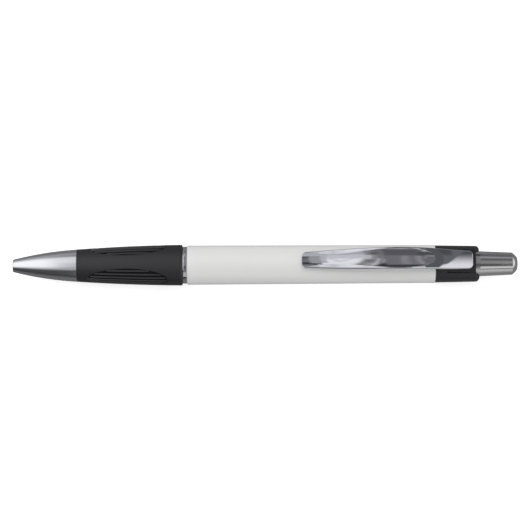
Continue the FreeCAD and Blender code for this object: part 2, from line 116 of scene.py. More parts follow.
# Writing point and return spring
POINT_CONE_LENGTH = 2.4 * MM
POINT_LENGTH = 9.5 * MM
POINT_TIP_R = 0.62 * MM
POINT_EDGE = 0.05 * MM
POINT_LIP_R = 0.49 * MM
POINT_SOCKET_R = 0.53 * MM
POINT_SOCKET_DEPTH = 0.5 * MM
POINT_CHANNEL_R = 0.4 * MM
SPRING_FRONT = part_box("refill_spring")[0].x
SPRING_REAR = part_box("refill_spring")[1].x
SPRING_OUTER_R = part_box("refill_spring")[1].y
SPRING_WIRE_R = 0.18 * MM
SPRING_TURNS = 8

# Grip ovals and their ribs
OVALS = 3
OVAL_CENTRE = NOSE_REAR + 14.2 * MM
OVAL_HALF = 11.1 * MM
OVAL_SWEEP_HALF = math.radians(37)
OVAL_DEPTH = 0.4 * MM
OVAL_EDGE = 0.14 * MM
OVAL_FLOOR_FROM = 0.9
OVAL_RIBS = 6
RIB_PITCH = math.radians(12.2)
RIB_HALF = 0.3 * MM
RIB_END_GAP = 0.25 * MM
RIB_END_POWER = 16.0
RIB_END_LEAST = 0.02
RIB_SHARP_DEG = 50

# Clip
CLIP_CREST = CLIP_FRONT + 26.3 * MM
CLIP_TIP_HALF = 2.12 * MM
CLIP_WIDE_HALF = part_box("clip")[1].y
CLIP_HEAD_HALF = 2.47 * MM
CLIP_TIP_CORNER = 1.0 * MM
CLIP_HEAD_CORNER = 1.15 * MM
CLIP_ARCH_GAP = 1.85 * MM
CLIP_DEPTH = 2.0 * MM
CLIP_TIP_DEPTH = 0.9 * MM
CLIP_TIP_LIFT = 0.3 * MM
CLIP_HEAD_PROUD = 1.18 * MM
CLIP_HEAD_SUNK = 0.6 * MM
CLIP_EDGE = 0.3 * MM
HEAD_CROWN_R = 17 * MM
HEAD_CROWN_FROM = 13 * MM
HEAD_CROWN_FULL = 7 * MM
CLIP_TOE_TO_CREST = (0.46, 0.5)
CLIP_CREST_TO_BACK = (0.47, 0.35)
CLIP_CREST_TO_NECK = (0.745, 0.8)
CLIP_NECK_UNDER = 0.67
NUB_SETBACK = 2.8 * MM
NUB_R = 0.9 * MM
NUB_GAP = 0.03 * MM
CLIP_LEAST_DEPTH = 0.2 * MM
CLIP_RIM = 0.32 * MM
DISH_R = 4.3 * MM
DISH_DEPTH = 0.95 * MM
DISH_TIP_DEPTH = 0.5 * MM
DISH_CREST_TO_END = (0.6, 0.48)
DISH_LEAST_SHARE = 0.35
DISH_END_SPAN = (-2.2 * MM, 0.6 * MM)
RIM_SOFTNESS = 0.02 * MM

# Finishes
GRAIN_DEPTH = 0.02 * MM
HANDLING_ROUGHNESS = 0.12

# The photograph's camera: above the pen and a little towards its lower side
IMAGE_SIDE = 530
PEN_LENGTH_PIXELS = 504.6
MM_PER_PIXEL = (PEN_REAR - NOSE_FRONT) / MM / PEN_LENGTH_PIXELS
SENSOR_WIDTH = 36
CAMERA_DISTANCE = 0.7
CAMERA_ELEVATION = math.radians(78.5)
CAMERA_ROLL = math.radians(0.273)
PEN_CENTRE_PIXEL = (265.3, 264.75)

# How finely the pieces are divided
TURN_STEPS = 256
GRIP_TURNS, GRIP_STATIONS = 420, 190
GRIP_CROWDING = 0.016
CAP_TURNS, CAP_SKIN_POINTS, CAP_ROUND_STEPS, CAP_MOUTH_STEPS = 320, 90, 24, 3
CLIP_STEPS, DISH_END_STEPS, CLIP_SIDE_POINTS = 300, 70, 400
CLIP_CROWDING = 0.75
RIM_STEPS, DISH_STEPS, EDGE_STEPS, UNDER_STEPS = 16, 56, 4, 8
DOME_STEPS, BALL_STEPS = 12, 24
SPRING_STEPS, SPRING_SIDES = 36 * SPRING_TURNS, 10


def between(start, end, share):
    return start + (end - start) * share


def soft_min(a, b, softness):
    """The smaller of two values, rounded over where they meet."""
    share = max(0.0, min(1.0, 0.5 + 0.5 * (b - a) / softness))
    return between(b, a, share) - softness * share * (1 - share)


def smooth_step(low, high, value):
    share = max(0.0, min(1.0, (value - low) / (high - low)))
    return share * share * (3 - 2 * share)


def circle_through(start, middle, end):
    """The centre and radius of the circle through three (x, r) points."""
    (ax, ay), (bx, by), (cx, cy) = start, middle, end
    d = 2 * (ax * (by - cy) + bx * (cy - ay) + cx * (ay - by))
    a2, b2, c2 = ax * ax + ay * ay, bx * bx + by * by, cx * cx + cy * cy
    ox = (a2 * (by - cy) + b2 * (cy - ay) + c2 * (ay - by)) / d
    oy = (a2 * (cx - bx) + b2 * (ax - cx) + c2 * (bx - ax)) / d
    return ox, oy, math.hypot(ax - ox, ay - oy)


def arc(start, middle, end, steps):
    """Points on the circle through three (x, r) points, the start left out."""
    ox, oy, radius = circle_through(start, middle, end)
    first, mid, last = (math.atan2(r - oy, x - ox) for x, r in (start, middle, end))
    full_turn = 2 * math.pi
    mid, last = (mid - first) % full_turn, (last - first) % full_turn
    if mid > last:
        last -= full_turn
    angles = [first + last * step / steps for step in range(1, steps + 1)]
    return [(ox + radius * math.cos(a), oy + radius * math.sin(a)) for a in angles]


def line(start, end, steps):
    """Evenly spaced points from start to end, the start left out."""
    shares = [step / steps for step in range(1, steps + 1)]
    return [(between(start[0], end[0], s), between(start[1], end[1], s)) for s in shares]


def smooth_curve(points):
    """A natural cubic spline through (x, z) points, as a function of x."""
    x, z = (np.array(values) for values in zip(*points))
    h = np.diff(x)
    n = len(x)
    system = np.eye(n)
    right = np.zeros(n)
    for i in range(1, n - 1):
        system[i, i - 1 : i + 2] = h[i - 1], 2 * (h[i - 1] + h[i]), h[i]
        right[i] = 6 * ((z[i + 1] - z[i]) / h[i] - (z[i] - z[i - 1]) / h[i - 1])
    bend = np.linalg.solve(system, right)

    def height(at):
        i = int(np.clip(np.searchsorted(x, at) - 1, 0, n - 2))
        a, b = x[i + 1] - at, at - x[i]
        cubic = (bend[i] * a**3 + bend[i + 1] * b**3) / (6 * h[i])
        from_left = (z[i] / h[i] - bend[i] * h[i] / 6) * a
        from_right = (z[i + 1] / h[i] - bend[i + 1] * h[i] / 6) * b
        return cubic + from_left + from_right

    return height


def new_object(name, data):
    obj = bpy.data.objects.new(name, data)
    bpy.context.scene.collection.objects.link(obj)
    return obj


def shade(mesh, sharp_deg):
    """Turns the faces of a closed mesh outward and shades it smooth, with its creases kept sharp."""
    shell = bmesh.new()
    shell.from_mesh(mesh)
    bmesh.ops.recalc_face_normals(shell, faces=shell.faces)
    shell.to_mesh(mesh)
    shell.free()
    mesh.shade_smooth()
    mesh.set_sharp_from_angle(angle=math.radians(sharp_deg))


def mesh_object(name, verts, faces, sharp_deg=32):
    mesh = bpy.data.meshes.new(name)
    mesh.from_pydata(verts, [], faces)
    shade(mesh, sharp_deg)
    return new_object(name, mesh)


def ring_object(name, rings, closed=True, sharp_deg=32):
    """A skin over rings of points. A ring of one point is a pole. Closed joins the last ring to the first."""
    verts, starts = [], []
    for ring in rings:
        starts.append(len(verts))
        verts.extend(ring)
    pairs = list(zip(range(len(rings) - 1), range(1, len(rings))))
    if closed:
        pairs.append((len(rings) - 1, 0))
    faces = []
    for a, b in pairs:
        sa, sb, na, nb = starts[a], starts[b], len(rings[a]), len(rings[b])
        for i in range(max(na, nb)):
            j = (i + 1) % max(na, nb)
            if na == 1:
                faces.append((sa, sb + j, sb + i))
            elif nb == 1:
                faces.append((sa + i, sa + j, sb))
            else:
                faces.append((sa + i, sa + j, sb + j, sb + i))
    return mesh_object(name, verts, faces, sharp_deg)


def around(x, r, turn):
    """The point at that station, radius and turn from the clip's side of the pen."""
    return (x, -r * math.sin(turn), AXIS_Z + r * math.cos(turn))


def turned(name, profile, closed=True, sharp_deg=32):
    """A piece turned about the pen's axis from (station, radius) points."""
    rings = []
    for x, r in profile:
        if r == 0:
            rings.append([(x, 0, AXIS_Z)])
        else:
            rings.append([around(x, r, 2 * math.pi * i / TURN_STEPS) for i in range(TURN_STEPS)])
    return ring_object(name, rings, closed, sharp_deg)


def add(tree, kind, inputs=None, **settings):
    """A node with its settings and inputs. An input is a value, or the socket to link."""
    node = tree.nodes.new(kind)
    for key, value in settings.items():
        setattr(node, key, value)
    for key, value in (inputs or {}).items():
        if isinstance(value, bpy.types.NodeSocket):
            tree.links.new(value, node.inputs[key])
        else:
            node.inputs[key].default_value = value
    return node


def calc(tree, operation, *values):
    """The output of a math node."""
    return add(tree, "ShaderNodeMath", dict(enumerate(values)), operation=operation).outputs[0]


def arithmetic(tree):
    """The four operations as functions, each of which adds a math node and gives its output."""
    return [partial(calc, tree, operation) for operation in ("ADD", "SUBTRACT", "MULTIPLY", "DIVIDE")]


def new_group(kind, name, inputs, outputs):
    """An empty node group with its input and output nodes. Sockets are (name, type, default) rows."""
    group = bpy.data.node_groups.new(name, kind)
    for label, socket_type, default in inputs:
        socket = group.interface.new_socket(label, in_out="INPUT", socket_type=socket_type)
        if default is not None:
            socket.default_value = default
    for label, socket_type in outputs:
        group.interface.new_socket(label, in_out="OUTPUT", socket_type=socket_type)
    return group, group.nodes.new("NodeGroupInput").outputs, group.nodes.new("NodeGroupOutput").inputs


def new_material(name, colour, roughness, others=None):
    """A material with its shader set to plain values, the others by the names of their sockets."""
    material = bpy.data.materials.new(name)
    material.use_nodes = True
    tree = material.node_tree
    shader = tree.nodes["Principled BSDF"]
    values = {"Base Color": (*colour, 1), "Roughness": roughness, **(others or {})}
    for key, value in values.items():
        shader.inputs[key].default_value = value
    return material, tree, shader


def grain_group():
    """A fine surface grain: it varies the roughness and leans the normal a little."""
    group, given, result = new_group(
        "ShaderNodeTree",
        "surface_grain",
        [
            ("Scale", "NodeSocketFloat", 2000.0),
            ("Roughness", "NodeSocketFloat", 0.3),
            ("Roughness Spread", "NodeSocketFloat", 0.05),
            ("Bump", "NodeSocketFloat", 0.1),
        ],
        [("Roughness", "NodeSocketFloat"), ("Normal", "NodeSocketVector"), ("Grain", "NodeSocketFloat")],
    )
    plus, minus, times, _ = arithmetic(group)
    place = add(group, "ShaderNodeTexCoord").outputs["Object"]
    noise = add(
        group,
        "ShaderNodeTexNoise",
        {"Vector": place, "Scale": given["Scale"], "Detail": 3.0, "Roughness": 0.6},
    ).outputs[0]
    offset = times(minus(noise, 0.5), given["Roughness Spread"])
    group.links.new(plus(given["Roughness"], offset), result["Roughness"])
    bump = add(group, "ShaderNodeBump", {"Height": noise, "Strength": given["Bump"], "Distance": GRAIN_DEPTH})
    group.links.new(bump.outputs[0], result["Normal"])
    group.links.new(noise, result["Grain"])
    return group


def handling_group():
    """Faint, large smudges from handling: a mask that raises the roughness where fingers go."""
    group, given, result = new_group(
        "ShaderNodeTree",
        "handling_marks",
        [
            ("Scale", "NodeSocketFloat", 220.0),
            ("Amount", "NodeSocketFloat", 0.5),
            ("Roughness", "NodeSocketFloat", 0.1),
        ],
        [("Mask", "NodeSocketFloat"), ("Roughness", "NodeSocketFloat")],
    )
    plus, _, times, _ = arithmetic(group)
    place = add(group, "ShaderNodeTexCoord").outputs["Object"]
    noise = add(
        group,
        "ShaderNodeTexNoise",
        {"Vector": place, "Scale": given["Scale"], "Detail": 5.0, "Roughness": 0.55, "Distortion": 0.6},
    ).outputs[0]
    ramp = add(group, "ShaderNodeMapRange", {"Value": noise, "From Min": 0.48, "From Max": 0.7})
    mask = times(ramp.outputs[0], given["Amount"])
    group.links.new(mask, result["Mask"])
    raised = times(mask, HANDLING_ROUGHNESS)
    group.links.new(plus(given["Roughness"], raised), result["Roughness"])
    return group


GRAIN = grain_group()
HANDLING = handling_group()


def use_group(tree, shader, group, values):
    """Places a group in a material with its values set, and links what the shader takes from it."""
    node = add(tree, "ShaderNodeGroup", values, node_tree=group)
    for label in ("Roughness", "Normal"):
        if label in node.outputs:
            tree.links.new(node.outputs[label], shader.inputs[label])
    return node


def tinted(tree, shader, mask, dark, light):
    """Colours a shader between two tones by a mask."""
    tones = {0: mask, 6: (*dark, 1), 7: (*light, 1)}
    mix = add(tree, "ShaderNodeMix", tones, data_type="RGBA", clamp_factor=True)
    tree.links.new(mix.outputs[2], shader.inputs["Base Color"])


def plated(name, colour, clean, touched, roughness, amount):
    """A plated finish with faint marks of handling, which tint it and raise its roughness."""
    material, tree, shader = new_material(name, colour, roughness, {"Metallic": 1.0})
    marks = use_group(tree, shader, HANDLING, {"Roughness": roughness, "Amount": amount})
    tinted(tree, shader, marks.outputs["Mask"], clean, touched)
    return material


def grained(name, colour, dark, light, roughness, grain, others=None):
    """A finish tinted between two tones by its grain. The grain is its scale, roughness spread and bump."""
    material, tree, shader = new_material(name, colour, roughness, others)
    scale, spread, bump = grain
    values = {"Scale": scale, "Roughness": roughness, "Roughness Spread": spread, "Bump": bump}
    node = use_group(tree, shader, GRAIN, values)
    tinted(tree, shader, node.outputs["Grain"], dark, light)
    return material


def toned(colour, factor):
    return [min(1, value * factor) for value in colour]


def moulded(name, colour, roughness=0.45):
    return grained(name, colour, toned(colour, 0.92), toned(colour, 1.06), roughness, (1800.0, 0.1, 0.1))


def drawn_metal(name, colour, roughness=0.25):
    dark, light = toned(colour, 0.9), toned(colour, 1.05)
    return grained(name, colour, dark, light, roughness, (5200.0, 0.12, 0.15), {"Metallic": 1.0})


MIRROR = plated("mirror_plate", (0.82, 0.82, 0.86), (0.83, 0.83, 0.87), (0.78, 0.78, 0.82), 0.05, 0.35)
BUTTON = plated("button_plate", (0.8, 0.8, 0.81), (0.8, 0.8, 0.81), (0.74, 0.73, 0.72), 0.09, 0.5)
SATIN = grained(
    "satin_plate",
    (0.78, 0.78, 0.81),
    (0.76, 0.76, 0.79),
    (0.82, 0.82, 0.85),
    0.2,
    (2600.0, 0.08, 0.12),
    {"Metallic": 1.0},
)
WHITE = grained(
    "white_barrel",
    (0.74, 0.74, 0.735),
    (0.735, 0.735, 0.73),
    (0.76, 0.76, 0.755),
    0.32,
    (900.0, 0.06, 0.08),
    {"Coat Weight": 0.6, "Coat Roughness": 0.14},
)
BLACK = grained(
    "black_cap",
    (0.014, 0.014, 0.016),
    (0.012, 0.012, 0.014),
    (0.017, 0.017, 0.02),
    0.28,
    (1600.0, 0.08, 0.1),
    {"Specular IOR Level": 0.55},
)
RUBBER = grained(
    "grip_rubber",
    (0.011, 0.011, 0.013),
    (0.0105, 0.0105, 0.013),
    (0.015, 0.015, 0.0185),
    0.46,
    (3200.0, 0.1, 0.22),
    {"Specular IOR Level": 0.75},
)
# Ribs: a lighter copy of the grip rubber, painted highlight on the ribs; its lower roughness and higher
# specular are a glossier finish.
RIB_LIT_RUBBER = grained(
    "rib_rubber_painted_highlight",
    (0.017, 0.017, 0.019),
    (0.015, 0.015, 0.017),
    (0.02, 0.02, 0.0225),
    0.34,
    (3200.0, 0.08, 0.12),
    {"Specular IOR Level": 1.0},
)
# Oval floors: a darker copy of the grip rubber, painted shade in the recesses; its high roughness and low
# specular make it matt.
OVAL_SHADED_RUBBER = grained(
    "oval_rubber_painted_shade",
    (0.006, 0.006, 0.007),
    (0.005, 0.005, 0.006),
    (0.008, 0.008, 0.009),
    0.8,
    (3200.0, 0.1, 0.3),
    {"Specular IOR Level": 0.2},
)
NICKEL = drawn_metal("nickel_silver", (0.66, 0.62, 0.54))
STEEL = drawn_metal("spring_steel", (0.58, 0.58, 0.6), 0.2)


def finish_piece(obj, material, body, *nodes):
    """Gives a piece its material, its body and the construction nodes that it stands for."""
    if not obj.data.materials:
        obj.data.materials.append(material)
    if nodes:
        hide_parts(*nodes)
    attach(obj, body)
    return obj


def nose_cone():
    corner = NOSE_TIP_ROUND * (1 - math.sqrt(0.5))
    tip_face = (NOSE_FRONT, NOSE_TIP_R - NOSE_TIP_ROUND)
    tip_side = (NOSE_FRONT + NOSE_TIP_ROUND, NOSE_TIP_R)
    middle = (between(NOSE_FRONT, NOSE_REAR, 0.5), between(NOSE_TIP_R, NOSE_REAR_R, 0.5) + NOSE_BELLY)
    rear = (NOSE_REAR, NOSE_REAR_R)
    mouth = (NOSE_FRONT, POINT_BORE_R + NOSE_MOUTH_BEVEL)
    profile = [(NOSE_FRONT + NOSE_MOUTH_BEVEL, POINT_BORE_R), mouth, tip_face]
    profile += arc(tip_face, (NOSE_FRONT + corner, NOSE_TIP_R - corner), tip_side, steps=10)
    profile += arc(tip_side, middle, rear, steps=90)
    profile += [(NOSE_REAR, CORE_FRONT_R), (NOSE_REAR - NOSE_BACK_SLOPE, POINT_BORE_R)]
    return finish_piece(turned("nose_shell", profile), SATIN, "housing", "nose_cone")


def grip_radius(x):
    """The grip's outside radius at a station, before its ovals are sunk."""
    round_start = GRIP_REAR - GRIP_REAR_ROUND
    along = (x - NOSE_REAR) / (round_start - NOSE_REAR)
    bulge = 4 * GRIP_BELLY * along * (1 - along)
    radius = between(NOSE_REAR_R, GRIP_REAR_R, along) + bulge
    if x > round_start:
        past = min(GRIP_REAR_ROUND, x - round_start)
        radius = GRIP_REAR_R - GRIP_REAR_ROUND + math.sqrt(GRIP_REAR_ROUND**2 - past**2)
    return radius


def oval_depth(x, turn):
    """How far the surface is sunk at that place, from 0 outside the ovals to 1 inside."""
    spacing = 2 * math.pi / OVALS
    off = (turn % spacing) - spacing / 2
    along = (x - OVAL_CENTRE) / OVAL_HALF
    reach = math.hypot(along, off / OVAL_SWEEP_HALF)
    edge = OVAL_EDGE / (OVAL_SWEEP_HALF * GRIP_REAR_R)
    return 1 - smooth_step(1 - edge, 1 + edge, reach)


def rubber_grip():
    """The sleeve as a fine grid, with its ovals sunk in and their floors in a darker, duller rubber whose
    darker colour is painted shade in the recesses.
    """
    turns = [2 * math.pi * j / GRIP_TURNS for j in range(GRIP_TURNS)]
    rings = []
    for i in range(GRIP_STATIONS + 1):
        share = i / GRIP_STATIONS
        x = between(NOSE_REAR, GRIP_REAR, share + GRIP_CROWDING * math.sin(2 * math.pi * share))
        radius = grip_radius(x)
        rings.append([around(x, radius - OVAL_DEPTH * oval_depth(x, turn), turn) for turn in turns])
    for x in (GRIP_REAR, NOSE_REAR):
        rings.append([around(x, CORE_FRONT_R, turn) for turn in turns])
    obj = ring_object("grip_sleeve", rings)
    obj.data.materials.append(RUBBER)
    obj.data.materials.append(OVAL_SHADED_RUBBER)
    # Faces on the oval floors take the darker rubber, which is painted shade in the recesses.
    for face in obj.data.polygons:
        x, y, z = face.center
        turn = math.atan2(-y, z - AXIS_Z)
        outside = math.hypot(y, z - AXIS_Z) > (CORE_FRONT_R + NOSE_REAR_R) / 2
        face.material_index = int(outside and oval_depth(x, turn) > OVAL_FLOOR_FROM)
    return finish_piece(obj, RUBBER, "housing", "rubber_grip")


def rib_tree():
    """Lengthwise ribs standing in oval recesses round a tapered grip, each as long as its oval allows."""
    sizes = [
        ("Ovals", "NodeSocketInt", OVALS),
        ("Ribs Per Oval", "NodeSocketInt", OVAL_RIBS),
        ("Rib Pitch", "NodeSocketFloat", RIB_PITCH),
        ("Rib Half Width", "NodeSocketFloat", RIB_HALF),
        ("Rib Height", "NodeSocketFloat", OVAL_DEPTH),
        ("End Gap", "NodeSocketFloat", RIB_END_GAP),
        ("Oval Centre", "NodeSocketFloat", OVAL_CENTRE),
        ("Oval Half Length", "NodeSocketFloat", OVAL_HALF),
        ("Oval Half Sweep", "NodeSocketFloat", OVAL_SWEEP_HALF),
        ("Grip Front", "NodeSocketFloat", NOSE_REAR),
        ("Grip Length", "NodeSocketFloat", GRIP_REAR - GRIP_REAR_ROUND - NOSE_REAR),
        ("Front Radius", "NodeSocketFloat", NOSE_REAR_R),
        ("Rear Radius", "NodeSocketFloat", GRIP_REAR_R),
        ("Belly", "NodeSocketFloat", GRIP_BELLY),
        ("Axis Height", "NodeSocketFloat", AXIS_Z),
        ("Material", "NodeSocketMaterial", None),
    ]
    tree, given, result = new_group(
        "GeometryNodeTree",
        "grip_ribs",
        [("Geometry", "NodeSocketGeometry", None)] + sizes,
        [("Geometry", "NodeSocketGeometry")],
    )
    plus, minus, times, over = arithmetic(tree)
    index = add(tree, "GeometryNodeInputIndex").outputs[0]
    per_oval = given["Ribs Per Oval"]
    oval = calc(tree, "FLOOR", over(plus(index, 0.5), per_oval))
    place = minus(index, times(oval, per_oval))
    middle = times(minus(per_oval, 1.0), 0.5)
    off = times(minus(place, middle), given["Rib Pitch"])
    spacing = over(2 * math.pi, given["Ovals"])
    turn = plus(times(plus(oval, 0.5), spacing), off)
    share = over(off, given["Oval Half Sweep"])
    chord = calc(tree, "SQRT", minus(1.0, times(share, share)))
    reach = minus(times(chord, given["Oval Half Length"]), given["End Gap"])
    count = times(given["Ovals"], per_oval)
    stored = add(tree, "GeometryNodePoints", {"Count": count}).outputs[0]
    for label, value in (("rib_turn", turn), ("rib_reach", reach)):
        stored = add(
            tree,
            "GeometryNodeStoreNamedAttribute",
            {"Geometry": stored, "Name": label, "Value": value},
            data_type="FLOAT",
            domain="POINT",
        ).outputs[0]
    bar = add(
        tree,
        "GeometryNodeMeshCylinder",
        {"Vertices": 20, "Side Segments": 48, "Radius": 1.0, "Depth": 2.0},
        fill_type="NGON",
    ).outputs["Mesh"]
    bars = add(tree, "GeometryNodeInstanceOnPoints", {"Points": stored, "Instance": bar}).outputs[0]
    real = add(tree, "GeometryNodeRealizeInstances", {"Geometry": bars}).outputs[0]

    def named(label):
        node = add(tree, "GeometryNodeInputNamedAttribute", {"Name": label}, data_type="FLOAT")
        return node.outputs["Attribute"]

    local = add(tree, "ShaderNodeSeparateXYZ", {0: add(tree, "GeometryNodeInputPosition").outputs[0]}).outputs
    end = calc(tree, "POWER", calc(tree, "ABSOLUTE", local[2]), RIB_END_POWER)
    shrink = calc(tree, "SQRT", calc(tree, "MAXIMUM", minus(1.0, end), RIB_END_LEAST))
    x = plus(given["Oval Centre"], times(local[2], named("rib_reach")))
    along = over(minus(x, given["Grip Front"]), given["Grip Length"])
    taper = times(along, minus(given["Rear Radius"], given["Front Radius"]))
    hump = times(along, minus(1.0, along))
    belly = times(times(hump, given["Belly"]), 4.0)
    skin = plus(plus(given["Front Radius"], taper), belly)
    rise = times(times(local[0], shrink), given["Rib Height"])
    radius = plus(minus(skin, given["Rib Height"]), rise)
    wide = times(times(local[1], shrink), given["Rib Half Width"])
    angle = plus(named("rib_turn"), over(wide, skin))
    y = times(times(radius, calc(tree, "SINE", angle)), -1.0)
    z = plus(times(radius, calc(tree, "COSINE", angle)), given["Axis Height"])
    spot = add(tree, "ShaderNodeCombineXYZ", {0: x, 1: y, 2: z}).outputs[0]
    set_ribs = add(tree, "GeometryNodeSetPosition", {"Geometry": real, "Position": spot}).outputs[0]
    painted = add(tree, "GeometryNodeSetMaterial", {"Geometry": set_ribs, "Material": given["Material"]})
    tree.links.new(painted.outputs[0], result["Geometry"])
    return tree


def from_tree(name, tree, material, sharp_deg):
    """Runs a geometry tree on an empty mesh and keeps its result as a plain mesh object."""
    carrier = new_object(name + "_source", bpy.data.meshes.new(name + "_source"))
    modifier = carrier.modifiers.new("tree", "NODES")
    modifier.node_group = tree
    modifier[tree.interface.items_tree["Material"].identifier] = material
    ready = carrier.evaluated_get(bpy.context.evaluated_depsgraph_get())
    mesh = bpy.data.meshes.new_from_object(ready)
    bpy.data.objects.remove(carrier)
    shade(mesh, sharp_deg)
    mesh.name = name
    return new_object(name, mesh)


def grip_ribs():
    # The ribs take the lighter rubber, which is painted highlight on them.
    ribs = from_tree("grip_ribs", rib_tree(), RIB_LIT_RUBBER, RIB_SHARP_DEG)
    return finish_piece(ribs, RIB_LIT_RUBBER, "housing")


def centre_ring():
    inner = RING_R - RING_WALL
    corner = RING_ROUND * (1 - math.sqrt(0.5))
    front = (GRIP_REAR, RING_R - RING_ROUND)
    front_side = (GRIP_REAR + RING_ROUND, RING_R)
    rear_side = (RING_REAR - RING_ROUND, RING_R)
    rear = (RING_REAR, RING_R - RING_ROUND)
    profile = [(GRIP_REAR, inner), front]
    profile += arc(front, (GRIP_REAR + corner, RING_R - corner), front_side, steps=8)
    profile += line(front_side, rear_side, steps=4)
    profile += arc(rear_side, (RING_REAR - corner, RING_R - corner), rear, steps=8)
    profile += [(RING_REAR, inner)]
    return finish_piece(turned("plated_ring", profile), MIRROR, "housing", "centre_ring")


def barrel():
    inner = BARREL_REAR_R - BARREL_WALL
    front = (RING_REAR, BARREL_FRONT_R - BARREL_EDGE)
    corner = BARREL_EDGE * (1 - math.sqrt(0.5))
    side = (RING_REAR + BARREL_EDGE, BARREL_FRONT_R)
    profile = [(RING_REAR, inner), front]
    profile += arc(front, (RING_REAR + corner, BARREL_FRONT_R - corner), side, steps=6)
    rear_side = (BARREL_REAR - BARREL_REAR_EDGE, BARREL_REAR_R)
    profile += line(side, rear_side, steps=40)
    profile += [(BARREL_REAR, BARREL_REAR_R - BARREL_REAR_EDGE), (BARREL_REAR, inner)]
    return finish_piece(turned("barrel_tube", profile), WHITE, "housing", "barrel")


def notch_station(r, turn):
    """Where the rounded notch on the clip's side cuts the cap, for a radius and turn."""
    below = max(0.0, CAP_MOUTH_R - r * math.cos(turn))
    if below >= NOTCH_R:
        return CAP_REAR + NOTCH_R
    return CAP_REAR - NOTCH_DEPTH + NOTCH_R - math.sqrt(NOTCH_R**2 - below**2)


def cap_outline(turn):
    """The cap's outline at one turn: skin with the clip's pocket, rear round, notch and mouth."""
    skin_start = BARREL_REAR + CAP_EDGE
    round_start = CAP_REAR - CAP_ROUND_LENGTH
    skin_end = soft_min(round_start, notch_station(CAP_REAR_R, turn), NOTCH_SOFTNESS)
    points = [(BARREL_REAR, CAP_MOUTH_R), (BARREL_REAR, CAP_FRONT_R - CAP_EDGE)]
    for i in range(CAP_SKIN_POINTS):
        x = between(skin_start, skin_end, i / (CAP_SKIN_POINTS - 1))
        r = between(CAP_FRONT_R, CAP_REAR_R, (x - BARREL_REAR) / (round_start - BARREL_REAR))
        aside = abs(r * math.sin(turn))
        sunk = 1 - smooth_step(POCKET_HALF - POCKET_EDGE, POCKET_HALF + POCKET_EDGE, aside)
        sunk *= smooth_step(0, POCKET_RAMP, x - (CAP_REAR - POCKET_LENGTH))
        if math.cos(turn) < 0:
            sunk = 0
        points.append((x, r - POCKET_DEPTH * sunk))
    skin_r = points[-1][1]
    fall = CAP_ROUND_DEPTH * (skin_r - CAP_MOUTH_R) / (CAP_REAR_R - CAP_MOUTH_R)
    for i in range(1, CAP_ROUND_STEPS + 1):
        step = math.pi / 2 * i / CAP_ROUND_STEPS
        x = round_start + CAP_ROUND_LENGTH * math.sin(step)
        r = skin_r - fall * (1 - math.cos(step))
        points.append((soft_min(x, notch_station(r, turn), NOTCH_SOFTNESS), r))
    last_r = points[-1][1]
    for i in range(1, CAP_MOUTH_STEPS + 1):
        r = between(last_r, CAP_MOUTH_R, i / CAP_MOUTH_STEPS)
        points.append((soft_min(CAP_REAR, notch_station(r, turn), NOTCH_SOFTNESS), r))
    return points


def end_cap():
    turns = [2 * math.pi * j / CAP_TURNS for j in range(CAP_TURNS)]
    columns = [[around(x, r, turn) for x, r in cap_outline(turn)] for turn in turns]
    rings = [list(ring) for ring in zip(*columns)]
    return finish_piece(ring_object("cap_shell", rings, sharp_deg=40), BLACK, "housing", "end_cap")


def barrel_radius(x):
    return between(BARREL_FRONT_R, BARREL_REAR_R, (x - RING_REAR) / (BARREL_REAR - RING_REAR))


TIP_UNDER = barrel_radius(CLIP_FRONT) + CLIP_TIP_LIFT
TIP_TOP = TIP_UNDER + CLIP_TIP_DEPTH
CREST_UNDER = barrel_radius(CLIP_CREST) + CLIP_ARCH_GAP
CREST_TOP = CREST_UNDER + CLIP_DEPTH
HEAD_TOP = CAP_REAR_R + CLIP_HEAD_PROUD
HEAD_UNDER = CAP_REAR_R - CLIP_HEAD_SUNK


def clip_heights():
    """The clip's top and underside heights above the pen's axis, as functions of the station."""

    def rising(shares, start, crest):
        return between(CLIP_FRONT, CLIP_CREST, shares[0]), between(start, crest, shares[1])

    def falling(shares, crest, end):
        return between(CLIP_CREST, CLIP_REAR, shares[0]), between(crest, end, shares[1])

    top = smooth_curve([
        (CLIP_FRONT, TIP_TOP),
        rising(CLIP_TOE_TO_CREST, TIP_TOP, CREST_TOP),
        (CLIP_CREST, CREST_TOP),
        falling(CLIP_CREST_TO_BACK, CREST_TOP, HEAD_TOP),
        falling(CLIP_CREST_TO_NECK, CREST_TOP, HEAD_TOP),
        (CLIP_REAR, HEAD_TOP),
    ])
    neck = between(CLIP_CREST, CLIP_REAR, CLIP_NECK_UNDER)
    under = smooth_curve([
        (CLIP_FRONT, TIP_UNDER),
        rising(CLIP_TOE_TO_CREST, TIP_UNDER, CREST_UNDER),
        (CLIP_CREST, CREST_UNDER),
        falling(CLIP_CREST_TO_BACK, CREST_UNDER, HEAD_UNDER),
        (neck, HEAD_UNDER),
    ])
    nub = CLIP_FRONT + NUB_SETBACK
    nub_centre = barrel_radius(nub) + NUB_GAP + NUB_R

    def underside(x):
        low = HEAD_UNDER if x > neck else max(under(x), HEAD_UNDER)
        if abs(x - nub) < NUB_R:
            low = min(low, nub_centre - math.sqrt(NUB_R**2 - (x - nub) ** 2))
        return low

    return top, underside


def dish_bottom():
    """The lowest line of the channel along the clip, as a function of the station."""
    along, down = DISH_CREST_TO_END
    centre_x, centre_height, radius = circle_through(
        (CLIP_FRONT, TIP_TOP - DISH_TIP_DEPTH),
        (CLIP_CREST, CREST_TOP - DISH_DEPTH),
        (between(CLIP_CREST, CLIP_REAR, along), between(CREST_TOP, HEAD_TOP, down)),
    )
    return lambda x: centre_height + math.sqrt(radius**2 - (x - centre_x) ** 2)


